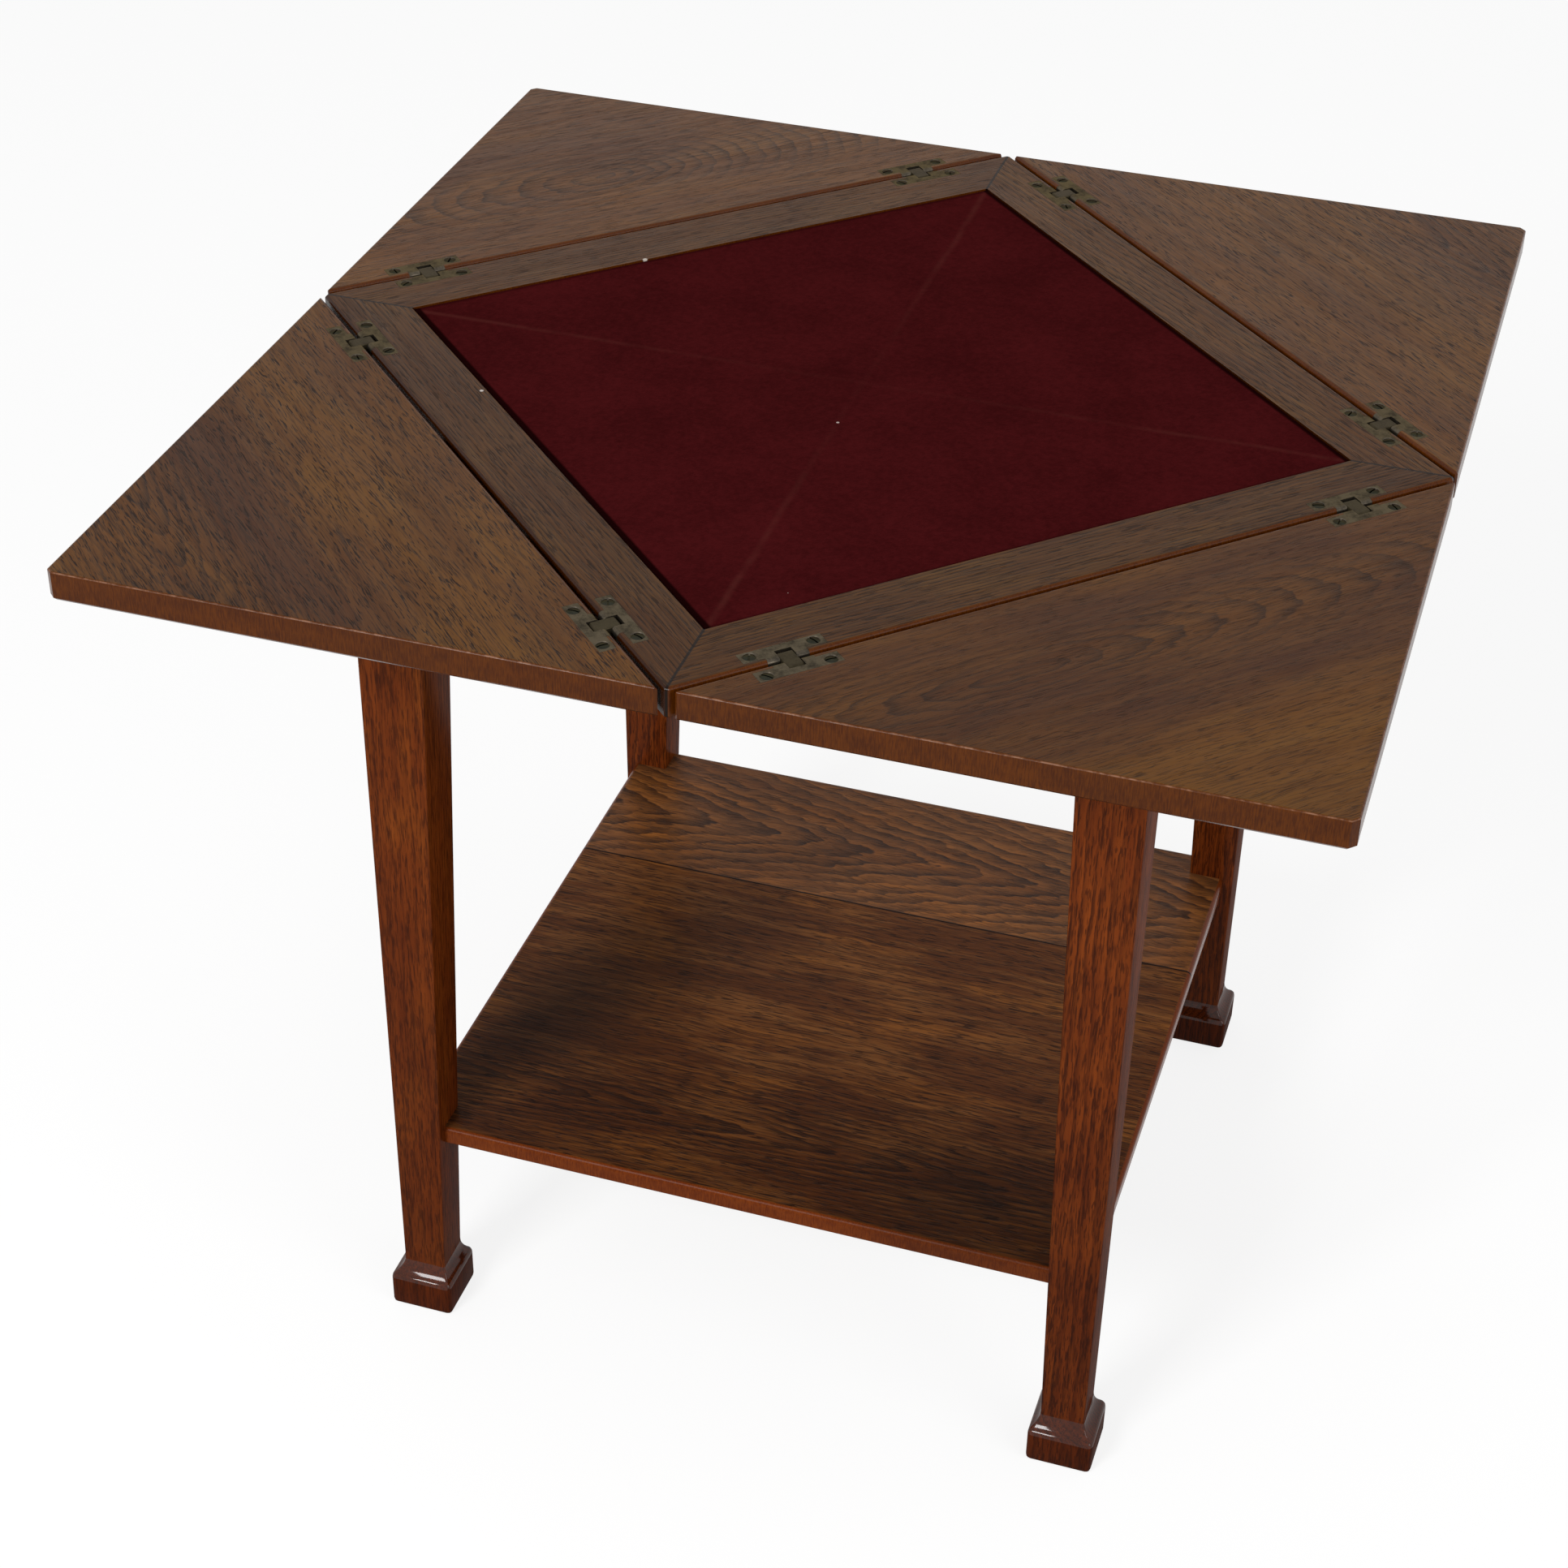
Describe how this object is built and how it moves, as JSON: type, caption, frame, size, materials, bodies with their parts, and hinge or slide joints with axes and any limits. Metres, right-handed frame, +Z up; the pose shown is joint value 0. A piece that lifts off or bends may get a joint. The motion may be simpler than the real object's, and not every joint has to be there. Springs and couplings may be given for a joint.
{
  "type": "folding card table",
  "caption": "Oak envelope card table: a baize panel swivels on a tapered-leg frame with a shelf, and triangular flaps on double-pivot hinges fold in over the baize.",
  "frame": {"origin": "floor level under the middle of the table, on the axis that the top turns about", "axes": "+X to the right along the front rail, +Y towards the back, +Z up. Stored as pictured: top turned across the frame, flaps folded out level"},
  "size_m": [0.849, 0.849, 0.743],
  "materials": {
    "oak_top": "fumed, waxed and worn",
    "oak_frame": "polished orange-brown",
    "oak_shelf": "polished dark brown",
    "pine": "bare, darkened with age",
    "baize": "matt woollen nap",
    "brass": "tarnished",
    "steel": "dulled"
  },
  "bodies": {
    "base": {"leg_back_right": "oak_frame", "leg_back_left": "oak_frame", "leg_front_left": "oak_frame", "leg_front_right": "oak_frame", "rail_back": "oak_frame", "rail_left": "oak_frame", "rail_front": "oak_frame", "rail_right": "oak_frame", "bearer_lengthwise": "pine", "bearer_crosswise": "pine", "corner_block_back_right": "pine", "corner_block_back_left": "pine", "corner_block_front_left": "pine", "corner_block_front_right": "pine", "shelf_board_back": "oak_shelf", "shelf_board_front": "oak_shelf"},
    "top": {"core_board": "pine", "baize": "baize", "rim_back_right": "oak_top", "rim_back_left": "oak_top", "rim_front_left": "oak_top", "rim_front_right": "oak_top", "rim_leaves_back_right": "brass", "rim_leaves_back_left": "brass", "rim_leaves_front_left": "brass", "rim_leaves_front_right": "brass", "rim_pins": "steel", "rim_screws": "brass", "swivel_pad": "pine", "stop_peg": "oak_frame", "pivot_bolt": "steel", "pivot_washer": "steel", "pivot_nut": "steel"},
    "back_right_links": {"links_back_right": "brass"},
    "back_right_flap": {"flap_back_right": "oak_top", "flap_leaves_back_right": "brass", "flap_pins_back_right": "steel", "flap_screws_back_right": "brass"},
    "back_left_links": {"links_back_left": "brass"},
    "back_left_flap": {"flap_back_left": "oak_top", "flap_leaves_back_left": "brass", "flap_pins_back_left": "steel", "flap_screws_back_left": "brass"},
    "front_left_links": {"links_front_left": "brass"},
    "front_left_flap": {"flap_front_left": "oak_top", "flap_leaves_front_left": "brass", "flap_pins_front_left": "steel", "flap_screws_front_left": "brass"},
    "front_right_links": {"links_front_right": "brass"},
    "front_right_flap": {"flap_front_right": "oak_top", "flap_leaves_front_right": "brass", "flap_pins_front_right": "steel", "flap_screws_front_right": "brass"}
  },
  "joints": [
    {"name": "top_swivel", "type": "hinge", "parent": "base", "child": "top", "pos_m": [0, 0, 0.7207], "axis": [0, 0, 1], "range_deg": [0, 45]},
    {"name": "back_right_link_fold", "type": "hinge", "parent": "top", "child": "back_right_links", "pos_m": [0.20966, 0.20966, 0.73825], "axis": [0.7071, -0.7071, 0], "range_deg": [0, 90]},
    {"name": "back_right_flap_fold", "type": "hinge", "parent": "back_right_links", "child": "back_right_flap", "pos_m": [0.21673, 0.21673, 0.73825], "axis": [0.7071, -0.7071, 0], "range_deg": [0, 90]},
    {"name": "back_left_link_fold", "type": "hinge", "parent": "top", "child": "back_left_links", "pos_m": [-0.20966, 0.20966, 0.73825], "axis": [0.7071, 0.7071, 0], "range_deg": [0, 90]},
    {"name": "back_left_flap_fold", "type": "hinge", "parent": "back_left_links", "child": "back_left_flap", "pos_m": [-0.21673, 0.21673, 0.73825], "axis": [0.7071, 0.7071, 0], "range_deg": [0, 90]},
    {"name": "front_left_link_fold", "type": "hinge", "parent": "top", "child": "front_left_links", "pos_m": [-0.20966, -0.20966, 0.73825], "axis": [-0.7071, 0.7071, 0], "range_deg": [0, 90]},
    {"name": "front_left_flap_fold", "type": "hinge", "parent": "front_left_links", "child": "front_left_flap", "pos_m": [-0.21673, -0.21673, 0.73825], "axis": [-0.7071, 0.7071, 0], "range_deg": [0, 90]},
    {"name": "front_right_link_fold", "type": "hinge", "parent": "top", "child": "front_right_links", "pos_m": [0.20966, -0.20966, 0.73825], "axis": [-0.7071, -0.7071, 0], "range_deg": [0, 90]},
    {"name": "front_right_flap_fold", "type": "hinge", "parent": "front_right_links", "child": "front_right_flap", "pos_m": [0.21673, -0.21673, 0.73825], "axis": [-0.7071, -0.7071, 0], "range_deg": [0, 90]}
  ],
  "couplings": [
    {"joint": "back_right_flap_fold", "follows": "back_right_link_fold", "ratio": 1},
    {"joint": "back_left_flap_fold", "follows": "back_left_link_fold", "ratio": 1},
    {"joint": "front_left_flap_fold", "follows": "front_left_link_fold", "ratio": 1},
    {"joint": "front_right_flap_fold", "follows": "front_right_link_fold", "ratio": 1}
  ]
}
